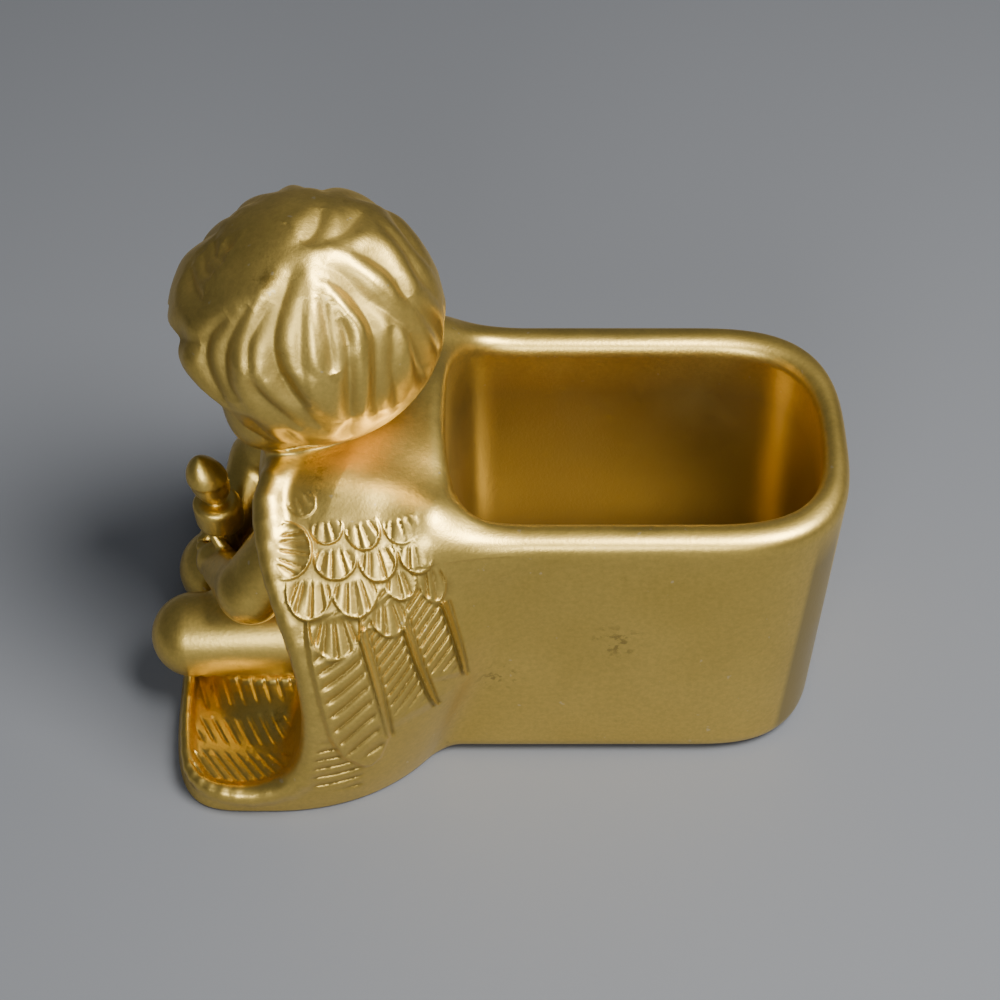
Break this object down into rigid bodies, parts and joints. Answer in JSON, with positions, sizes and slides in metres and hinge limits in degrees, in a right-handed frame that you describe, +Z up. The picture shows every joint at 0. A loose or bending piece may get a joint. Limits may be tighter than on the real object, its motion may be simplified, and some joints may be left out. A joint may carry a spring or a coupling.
{
  "type": "cherub planter",
  "caption": "Small gold-painted ceramic planter: a kneeling winged cherub bows over a candle, with an open oblong box behind its wings.",
  "frame": {"origin": "on the ground under the middle of the footprint, half way along the whole length and on the middle plane of the casting", "axes": "+Z up; +X along the length from the cherub towards the open planter box; +Y across, away from the picture's camera"},
  "size_m": [0.1506, 0.1014, 0.127],
  "materials": {
    "gold_painted_ceramic": "satin metallic gold paint, glossier and more amber inside the box"
  },
  "bodies": {
    "root": {"cherub_planter": "gold_painted_ceramic"}
  },
  "joints": []
}
